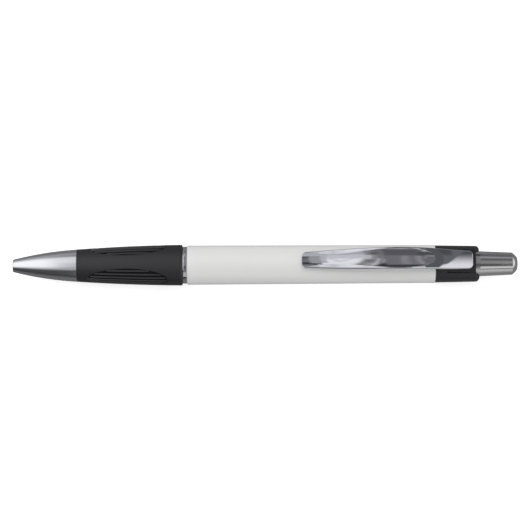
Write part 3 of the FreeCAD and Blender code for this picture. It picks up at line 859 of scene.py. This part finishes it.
def side_bow():
    """The clip's bowed sides: the half width on the circle through its ends and its widest place."""
    toe, head = (CLIP_FRONT, CLIP_TIP_HALF), (CLIP_REAR, CLIP_HEAD_HALF)
    stations, halves = zip(*arc(toe, (CLIP_CREST, CLIP_WIDE_HALF), head, CLIP_SIDE_POINTS))
    return lambda x: float(np.interp(x, stations, halves))


def rounded(distance, radius):
    """How far a rounded corner falls back at that distance from its edge."""
    inside = max(0.0, radius - distance)
    return radius - math.sqrt(max(0.0, radius**2 - inside**2))


def clip_section(x, top, underside, bottom, side):
    """One closed section of the clip, from under one edge, over the rims and the channel, to the other."""
    front, rear = x - CLIP_FRONT, CLIP_REAR - x
    half = side(x) - rounded(front, CLIP_TIP_CORNER) - rounded(rear, CLIP_HEAD_CORNER)
    crown = top(x) - rounded(front, CLIP_EDGE) - rounded(rear, CLIP_EDGE)
    low = min(underside(x), crown - CLIP_LEAST_DEPTH)
    sunk = crown - bottom(x)
    dish_half = math.sqrt(max(0.0, 2 * DISH_R * sunk - sunk**2)) if sunk > 0 else 0
    dish_half = min(max(dish_half, DISH_LEAST_SHARE * half), half - CLIP_RIM)
    bowed = 1 - smooth_step(HEAD_CROWN_FULL, HEAD_CROWN_FROM, rear)
    across = [between(half, dish_half, i / RIM_STEPS) for i in range(RIM_STEPS)]
    across += [between(dish_half, -dish_half, i / DISH_STEPS) for i in range(DISH_STEPS)]
    across += [between(-dish_half, -half, i / RIM_STEPS) for i in range(RIM_STEPS + 1)]
    points = []
    for y in across:
        rim = crown - rounded(half - abs(y), CLIP_EDGE) - bowed * y**2 / (2 * HEAD_CROWN_R)
        dish = bottom(x) + DISH_R - math.sqrt(DISH_R**2 - y**2)
        points.append((x, y, AXIS_Z + soft_min(rim, dish, RIM_SOFTNESS)))
    for i in range(1, EDGE_STEPS):
        points.append((x, -half, AXIS_Z + between(crown - CLIP_EDGE, low, i / EDGE_STEPS)))
    for i in range(UNDER_STEPS + 1):
        points.append((x, between(-half, half, i / UNDER_STEPS), AXIS_Z + low))
    for i in range(1, EDGE_STEPS):
        points.append((x, half, AXIS_Z + between(low, crown - CLIP_EDGE, i / EDGE_STEPS)))
    return points


def middle_of(section):
    """The middle of a section, as a ring of one point."""
    return [tuple(sum(point[axis] for point in section) / len(section) for axis in range(3))]


def clip():
    """The blade, with its sections closer together at its ends and where the channel runs out."""
    top, underside = clip_heights()
    bottom, side = dish_bottom(), side_bow()
    stations = []
    for i in range(CLIP_STEPS + 1):
        share = i / CLIP_STEPS
        eased = 0.5 - 0.5 * math.cos(math.pi * share)
        stations.append(between(CLIP_FRONT, CLIP_REAR, between(share, eased, CLIP_CROWDING)))
    dish_end = between(CLIP_CREST, CLIP_REAR, DISH_CREST_TO_END[0])
    for i in range(DISH_END_STEPS + 1):
        stations.append(dish_end + between(*DISH_END_SPAN, i / DISH_END_STEPS))
    sections = [clip_section(x, top, underside, bottom, side) for x in sorted(stations)]
    rings = [middle_of(sections[0])] + sections + [middle_of(sections[-1])]
    obj = ring_object("clip_blade", rings, closed=False, sharp_deg=40)
    return finish_piece(obj, MIRROR, "housing", "clip")


def push_button():
    dome_start = PEN_REAR - BUTTON_DOME
    round_start = dome_start - BUTTON_ROUND_LENGTH
    side = (round_start, BUTTON_END_R)
    along, down = BUTTON_ROUND_MIDDLE
    middle = (between(round_start, dome_start, along), between(BUTTON_END_R, BUTTON_FACE_R, down))
    face = (dome_start, BUTTON_FACE_R)
    profile = [(SKIRT_FRONT, 0), (SKIRT_FRONT, BUTTON_R), (CAP_REAR, BUTTON_R)]
    profile += line((CAP_REAR, BUTTON_R), side, steps=30)
    profile += arc(side, middle, face, steps=18)
    dome_r = (BUTTON_FACE_R**2 + BUTTON_DOME**2) / (2 * BUTTON_DOME)
    half = math.asin(BUTTON_FACE_R / dome_r)
    for i in range(1, DOME_STEPS):
        step = half * (1 - i / DOME_STEPS)
        profile.append((PEN_REAR - dome_r * (1 - math.cos(step)), dome_r * math.sin(step)))
    profile.append((PEN_REAR, 0))
    return finish_piece(turned("button_cap", profile, closed=False), BUTTON, "button", "push_button")


def writing_point():
    tip_side = (POINT_FRONT + POINT_EDGE, POINT_TIP_R)
    cone_rear = (POINT_FRONT + POINT_CONE_LENGTH, POINT_R)
    rear = POINT_FRONT + POINT_LENGTH
    profile = [(BALL_CENTRE.x, POINT_SOCKET_R), (POINT_FRONT, POINT_LIP_R)]
    profile += [(POINT_FRONT, POINT_TIP_R - POINT_EDGE), tip_side]
    profile += line(tip_side, cone_rear, steps=12)
    profile += line(cone_rear, (rear, POINT_R), steps=4)
    profile += [(rear, POINT_CHANNEL_R), (BALL_CENTRE.x + POINT_SOCKET_DEPTH, POINT_CHANNEL_R)]
    return finish_piece(turned("point_cone", profile), NICKEL, "refill", "writing_point")


def writing_ball():
    profile = [(BALL_CENTRE.x - BALL_R, 0)]
    for i in range(1, BALL_STEPS):
        step = math.pi * i / BALL_STEPS
        profile.append((BALL_CENTRE.x - BALL_R * math.cos(step), BALL_R * math.sin(step)))
    profile.append((BALL_CENTRE.x + BALL_R, 0))
    return finish_piece(turned("point_ball", profile, closed=False), STEEL, "ball", "writing_ball")


def return_spring():
    """The coil from the nose cone's seat to the holder's collar. The real one closes up as the refill comes
    forward; this one is built in one fixed shape.
    """
    start, end = SPRING_FRONT + SPRING_WIRE_R, SPRING_REAR - SPRING_WIRE_R
    coil_r = SPRING_OUTER_R - SPRING_WIRE_R
    rings = [[around(start, coil_r, 0)]]
    for i in range(SPRING_STEPS + 1):
        turn = 2 * math.pi * SPRING_TURNS * i / SPRING_STEPS
        x = between(start, end, i / SPRING_STEPS)
        ring = []
        for j in range(SPRING_SIDES):
            lean = 2 * math.pi * j / SPRING_SIDES
            aside, out = SPRING_WIRE_R * math.sin(lean), SPRING_WIRE_R * math.cos(lean)
            ring.append(around(x + aside, coil_r + out, turn))
        rings.append(ring)
    rings.append([around(end, coil_r, 2 * math.pi * SPRING_TURNS)])
    obj = ring_object("return_coil", rings, closed=False)
    obj.data.materials.append(STEEL)
    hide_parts("refill_spring")
    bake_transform(obj)
    return obj


def paint_inside():
    """Finishes for the pieces that stay as built, inside the pen."""
    finishes = {
        "grip_core": moulded("core_nylon", (0.04, 0.04, 0.045)),
        "cam_guide": moulded("guide_acetal", (0.72, 0.72, 0.7)),
        "drive_cam": moulded("cam_acetal", (0.68, 0.69, 0.66)),
        "cam_rotor": moulded("rotor_acetal", (0.35, 0.38, 0.42)),
        "refill_tube": moulded("refill_tube", (0.7, 0.72, 0.72), 0.3),
        "ink_column": moulded("ink", (0.01, 0.01, 0.015), 0.15),
        "point_holder": moulded("holder_nylon", (0.06, 0.06, 0.065)),
    }
    for node, material in finishes.items():
        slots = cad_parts[node].data.materials
        slots.clear()
        slots.append(material)


def panel_group():
    """Lays one soft-edged studio panel over what lies behind it.

    Turn is the direction round the pen from straight up, lean the direction along it. Slant tilts the
    panel's ends in lean with its turn.
    """
    group, given, result = new_group(
        "ShaderNodeTree",
        "studio_panel",
        [
            ("Behind", "NodeSocketColor", (1, 1, 1, 1)),
            ("Panel", "NodeSocketColor", (1, 1, 1, 1)),
            ("Turn From", "NodeSocketFloat", -30.0),
            ("Turn To", "NodeSocketFloat", 30.0),
            ("Lean From", "NodeSocketFloat", -30.0),
            ("Lean To", "NodeSocketFloat", 30.0),
            ("Turn Edge", "NodeSocketFloat", 4.0),
            ("Lean Edge", "NodeSocketFloat", 4.0),
            ("Slant", "NodeSocketFloat", 0.0),
        ],
        [("Light", "NodeSocketColor")],
    )
    _, minus, times, over = arithmetic(group)
    direction = add(group, "ShaderNodeTexCoord").outputs["Generated"]
    x, y, z = add(group, "ShaderNodeSeparateXYZ", {0: direction}).outputs
    turn = calc(group, "DEGREES", calc(group, "ARCTAN2", times(y, -1.0), z))
    lean = calc(group, "DEGREES", calc(group, "ARCSINE", x))
    level = minus(lean, times(turn, given["Slant"]))
    masks = []
    for value, side in ((turn, "Turn"), (level, "Lean")):
        for limit, sign in (("From", 1.0), ("To", -1.0)):
            inside = times(minus(value, given[f"{side} {limit}"]), sign)
            scaled = over(inside, given[f"{side} Edge"])
            ramp = add(
                group,
                "ShaderNodeMapRange",
                {"Value": scaled, "From Min": -0.5, "From Max": 0.5},
                interpolation_type="SMOOTHSTEP",
            )
            masks.append(ramp.outputs[0])
    mask = masks[0]
    for other in masks[1:]:
        mask = times(mask, other)
    mix = add(group, "ShaderNodeMix", {0: mask, 6: given["Behind"], 7: given["Panel"]}, data_type="RGBA")
    group.links.new(mix.outputs[2], result["Light"])
    return group


STUDIO_BASE = (0.17, 0.17, 0.175)

# Studio panels: name, colour, turn range, lean range, softness of the ends in turn and in lean, slant
PANELS = (
    ("head_white", (0.82, 0.82, 0.83), (-60, 60), (11.5, 40), 2, 1.2, 0),
    ("head_dark", (0.08, 0.08, 0.09), (-60, -12), (6, 27), 26, 4, 0),
    ("head_mid", (0.135, 0.139, 0.153), (-60, -2.5), (32.5, 90), 3, 3, 0.65),
    ("head_top", (0.075, 0.075, 0.083), (-60, -21), (26, 46), 8, 4, 0),
    ("left_side", (0.48, 0.48, 0.51), (-200, -75), (-90, -5), 50, 3, 0),
    ("low_dark", (0.055, 0.055, 0.058), (40, 110), (-90, 3), 26, 3, 0),
    ("bright_nose", (1.2, 1.2, 1.23), (-62, 34), (-90, -17), 44, 8, 0),
    ("bright_mid", (0.84, 0.84, 0.86), (-56, 0), (-17, -4.2), 20, 1.6, 0),
    ("bright_up", (0.6, 0.6, 0.64), (-8, 22), (-17, -3.8), 14, 1.6, 0),
    ("bright_top", (0.45, 0.45, 0.48), (20, 44), (-17, -3.6), 10, 1.6, 0),
    ("line_a", (0.48, 0.48, 0.52), (-33, -6), (-12.35, -11.85), 6, 0.4, -0.11),
    ("line_b", (0.48, 0.48, 0.52), (-33, 8), (-5.85, -5.35), 6, 0.4, 0.1),
    ("right_grey", (0.165, 0.165, 0.178), (-110, 10), (-1.5, 12), 14, 0.8, 0),
    ("right_dark", (0.105, 0.105, 0.115), (10, 56), (-1.5, 12), 14, 0.8, 0),
    ("dark_low", (0.08, 0.08, 0.09), (5, 48), (7.2, 12.2), 8, 1.0, 0),
    ("band_a", (0.25, 0.25, 0.26), (-60, 6), (3.7, 5.3), 16, 0.5, 0),
    ("band_b", (0.275, 0.275, 0.285), (-60, 6), (6.8, 8.0), 16, 0.5, 0),
    ("dark_edge", (0.05, 0.05, 0.05), (-92, -64), (-0.3, 9), 12, 0.6, 0),
    ("dark_spot", (0.035, 0.035, 0.035), (-92, -53), (-0.2, 1.2), 10, 0.4, 0),
    ("back_grey", (0.24, 0.24, 0.25), (-75, 58), (-3.4, -0.1), 10, 1.0, 0),
    ("back_light", (0.52, 0.52, 0.53), (-16, 14), (-4.2, -2.5), 8, 0.8, 0),
    ("back_dark", (0.16, 0.16, 0.17), (-37, -23), (-3.3, -1.5), 6, 0.6, 0),
    ("back_dark_b", (0.15, 0.15, 0.16), (28, 54), (-2.1, -0.5), 8, 0.5, 0),
    ("stripe_hi", (0.66, 0.66, 0.67), (-70, -12), (-1.25, -0.8), 12, 0.3, 0),
    ("stripe_hi_b", (0.48, 0.48, 0.49), (-70, -42), (-0.8, -0.45), 10, 0.3, 0),
    ("stripe_gap", (0.145, 0.145, 0.15), (-8, 40), (-0.95, -0.5), 8, 0.3, 0),
    ("stripe_c", (0.42, 0.42, 0.43), (-42, -18), (0.1, 0.4), 8, 0.2, 0),
    ("side_white", (0.45, 0.45, 0.45), (57, 108), (-6, 36), 10, 2.0, 0),
    ("ring_light", (0.36, 0.36, 0.36), (-62, -48), (-2.6, -1.2), 8, 0.6, 0),
    ("ring_dark", (0.09, 0.09, 0.09), (16, 32), (-2.6, -1.2), 8, 0.6, 0),
    ("button_low", (0.7, 0.7, 0.69), (38, 60), (7.8, 14), 12, 1.0, 0),
    ("button_side", (0.52, 0.52, 0.51), (66, 110), (7.8, 14), 5, 1.0, 0),
    ("button_line", (0.17, 0.17, 0.17), (58, 67), (7.8, 14), 5, 1.0, 0),
    ("button_edge", (0.165, 0.165, 0.17), (-95, -60), (8.2, 13), 8, 1.0, 0),
    ("button_top", (0.36, 0.36, 0.36), (-58, -44), (7.8, 12), 8, 1.0, 0),
    ("button_dark_a", (0.12, 0.12, 0.13), (-38, -24), (8.6, 12), 8, 1.0, 0),
    ("button_mid", (0.24, 0.24, 0.23), (-16, 12), (8.8, 12), 10, 1.0, 0),
    ("button_dark", (0.08, 0.08, 0.08), (14, 34), (7.8, 12), 8, 1.0, 0),
    ("cone_low", (0.6, 0.6, 0.6), (14, 112), (16, 40), 16, 6, 0),
    ("cone_mid", (0.8, 0.8, 0.8), (-32, 112), (38, 56), 16, 6, 0),
    ("cone_top", (0.8, 0.8, 0.8), (-220, 220), (56, 100), 10, 6, 0),
)

# Dark cards above the clip: colour, range along and across the pen in mm, height in mm
TOE_HEIGHT = 70
HEAD_HEIGHT = 30
CLIP_CARDS = (
    ((0.5, 0.5, 0.52), (0.5, 4.2), (-15, 46), TOE_HEIGHT),
    ((0.34, 0.34, 0.36), (-5, 1.2), (-15, 46), TOE_HEIGHT),
    ((0.17, 0.17, 0.18), (-16, -4.5), (-16, 90), TOE_HEIGHT),
    ((0.11, 0.11, 0.12), (-9, -4.5), (-13, 2), TOE_HEIGHT),
    ((0.14, 0.14, 0.14), (-2.8, 0.4), (44, 62), TOE_HEIGHT),
    ((0.085, 0.09, 0.09), (-5.6, -2.6), (42, 70), TOE_HEIGHT),
    ((0.045, 0.05, 0.05), (-9.3, -5.2), (30, 56), TOE_HEIGHT),
    ((0.1, 0.102, 0.11), (49, 57.5), (-3.2, 9), HEAD_HEIGHT),
    ((0.155, 0.155, 0.165), (46.3, 49.2), (0.5, 16), HEAD_HEIGHT),
)
CARD_STEP = 0.5 * MM

# Room, soft light and floor
ROOM_LIGHT = (0.78, 0.78, 0.78)
SOFTBOX_POWER = 6.5
SOFTBOX_SIDE = 1.2
SOFTBOX_DISTANCE = 1.5
SOFTBOX_TURN = math.radians(-22)
FLOOR_HALF = 3.0
FLOOR_DROP = 0.02 * MM
FLOOR_GLOW = 0.62
FLOOR_NOSE_NEAR = (0.16, 0.16, 0.165)
FLOOR_NOSE_FAR = (0.035, 0.035, 0.037)
FLOOR_BUTTON_NEAR = (0.22, 0.22, 0.22)
FLOOR_BUTTON_FAR = (0.4, 0.4, 0.4)
FLOOR_FAR_SIDE = (0.2, 0.2, 0.205)
FLOOR_FAR_TO_NEAR = (-60 * MM, -14 * MM)
FLOOR_NOSE_TO_BUTTON = (-20 * MM, 55 * MM)
FLOOR_MIDDLE = (-2 * MM, 2 * MM)


def studio_world():
    """An even pale room for matt surfaces, and the panels for what plated and glossy ones mirror."""
    world = bpy.data.worlds.new("studio")
    bpy.context.scene.world = world
    world.use_nodes = True
    tree = world.node_tree
    group = panel_group()
    light = None
    for name, colour, turns, leans, turn_edge, lean_edge, slant in PANELS:
        panel = add(tree, "ShaderNodeGroup", node_tree=group, label=name)
        if light is None:
            panel.inputs["Behind"].default_value = (*STUDIO_BASE, 1)
        else:
            tree.links.new(light, panel.inputs["Behind"])
        panel.inputs["Panel"].default_value = (*colour, 1)
        panel.inputs["Turn From"].default_value, panel.inputs["Turn To"].default_value = turns
        panel.inputs["Lean From"].default_value, panel.inputs["Lean To"].default_value = leans
        panel.inputs["Turn Edge"].default_value = turn_edge
        panel.inputs["Lean Edge"].default_value = lean_edge
        panel.inputs["Slant"].default_value = slant
        light = panel.outputs["Light"]
    room = tree.nodes["Background"]
    room.inputs["Color"].default_value = (*ROOM_LIGHT, 1)
    mirrored = add(tree, "ShaderNodeBackground", {"Color": light})
    glossy = add(tree, "ShaderNodeLightPath").outputs["Is Glossy Ray"]
    seen = add(tree, "ShaderNodeMixShader", {0: glossy, 1: room.outputs[0], 2: mirrored.outputs[0]})
    tree.links.new(seen.outputs[0], tree.nodes["World Output"].inputs["Surface"])


def studio_softbox():
    """A large soft light above the pen, a little towards its upper side in the picture."""
    data = bpy.data.lights.new("softbox", "AREA")
    data.shape = "SQUARE"
    data.size = SOFTBOX_SIDE
    data.energy = SOFTBOX_POWER
    light = new_object("softbox", data)
    away = Vector((0, -math.sin(SOFTBOX_TURN), math.cos(SOFTBOX_TURN)))
    light.location = away * SOFTBOX_DISTANCE
    light.rotation_euler = away.to_track_quat("Z", "Y").to_euler()
    light.visible_glossy = False


def flat_card(name, along, across, z):
    """A level rectangle from its ranges along and across the pen."""
    corners = [(along[i], across[j], z) for i, j in ((0, 0), (1, 0), (1, 1), (0, 1))]
    return mesh_object(name, corners, [(0, 1, 2, 3)])


def clip_cards():
    """Small dark cards above the pen that only plated pieces mirror. Nothing else sees them or is shaded."""
    for i, (colour, along, across, height) in enumerate(CLIP_CARDS):
        z = height * MM - i * CARD_STEP
        card = flat_card(f"clip_card_{i}", [x * MM for x in along], [y * MM for y in across], z)
        glow = {"Emission Color": (*colour, 1), "Emission Strength": 1.0, "Specular IOR Level": 0.0}
        card.data.materials.append(new_material(f"clip_card_{i}", (0, 0, 0), 1.0, glow)[0])
        card.visible_camera = False
        card.visible_diffuse = False
        card.visible_transmission = False
        card.visible_shadow = False


def blended(tree, value, span, first, second):
    """A colour that goes from the first to the second as a value goes through its span."""
    limits = {"Value": value, "From Min": span[0], "From Max": span[1]}
    share = add(tree, "ShaderNodeMapRange", limits).outputs[0]
    colours = {}
    for socket, colour in ((6, first), (7, second)):
        colours[socket] = colour if isinstance(colour, bpy.types.NodeSocket) else (*colour, 1)
    return add(tree, "ShaderNodeMix", {0: share, **colours}, data_type="RGBA").outputs[2]


def floor_mirrored(tree):
    """The floor's grey in plated pieces: dark before the nose, light by the button, plain on the far side."""
    place = add(tree, "ShaderNodeTexCoord").outputs["Object"]
    x, y, z = add(tree, "ShaderNodeSeparateXYZ", {0: place}).outputs
    by_nose = blended(tree, y, FLOOR_FAR_TO_NEAR, FLOOR_NOSE_FAR, FLOOR_NOSE_NEAR)
    by_button = blended(tree, y, FLOOR_FAR_TO_NEAR, FLOOR_BUTTON_FAR, FLOOR_BUTTON_NEAR)
    near_side = blended(tree, x, FLOOR_NOSE_TO_BUTTON, by_nose, by_button)
    return blended(tree, y, FLOOR_MIDDLE, near_side, FLOOR_FAR_SIDE)


def studio_floor():
    """A white floor that shows only a trace of shadow, and is grey where plated pieces mirror it."""
    reach = (-FLOOR_HALF, FLOOR_HALF)
    floor = flat_card("studio_floor", reach, reach, -FLOOR_DROP)
    matt = {"Specular IOR Level": 0.0, "Emission Color": (1, 1, 1, 1)}
    material, tree, shader = new_material("pale_floor", (0.8, 0.8, 0.8), 0.9, matt)
    path = add(tree, "ShaderNodeLightPath")
    glow = calc(tree, "MULTIPLY", path.outputs["Is Camera Ray"], FLOOR_GLOW)
    tree.links.new(glow, shader.inputs["Emission Strength"])
    mirrored = add(tree, "ShaderNodeEmission", {"Color": floor_mirrored(tree)})
    mix = add(tree, "ShaderNodeMixShader", {0: path.outputs["Is Glossy Ray"], 1: shader.outputs[0]})
    tree.links.new(mirrored.outputs[0], mix.inputs[2])
    tree.links.new(mix.outputs[0], tree.nodes["Material Output"].inputs["Surface"])
    floor.data.materials.append(material)


def photo_camera():
    """The photograph's view: long lens, above the pen, with the nose on the left."""
    data = bpy.data.cameras.new("photo_camera")
    data.sensor_width = SENSOR_WIDTH
    field = IMAGE_SIDE * MM_PER_PIXEL * MM
    data.lens = SENSOR_WIDTH * CAMERA_DISTANCE / field
    data.clip_start, data.clip_end = 0.05, 20
    back = Vector((0, -math.cos(CAMERA_ELEVATION), math.sin(CAMERA_ELEVATION)))
    turn = (-back).to_track_quat("-Z", "Y")
    right, up = turn @ Vector((1, 0, 0)), turn @ Vector((0, 1, 0))
    off_x = (IMAGE_SIDE / 2 - PEN_CENTRE_PIXEL[0]) * MM_PER_PIXEL * MM
    off_y = (PEN_CENTRE_PIXEL[1] - IMAGE_SIDE / 2) * MM_PER_PIXEL * MM
    target = Vector((0, 0, AXIS_Z)) + right * off_x + up * off_y
    camera = new_object("photo_camera", data)
    camera.location = target + back * CAMERA_DISTANCE
    camera.rotation_mode = "QUATERNION"
    camera.rotation_quaternion = turn
    camera.rotation_mode = "XYZ"
    camera.rotation_euler.rotate_axis("Z", -CAMERA_ROLL)
    bpy.context.scene.camera = camera


photo_camera()
nose_cone()
rubber_grip()
grip_ribs()
centre_ring()
barrel()
end_cap()
clip()
push_button()
writing_point()
writing_ball()
return_spring()
paint_inside()
studio_world()
studio_softbox()
clip_cards()
studio_floor()
bpy.context.scene.view_settings.view_transform = "Standard"
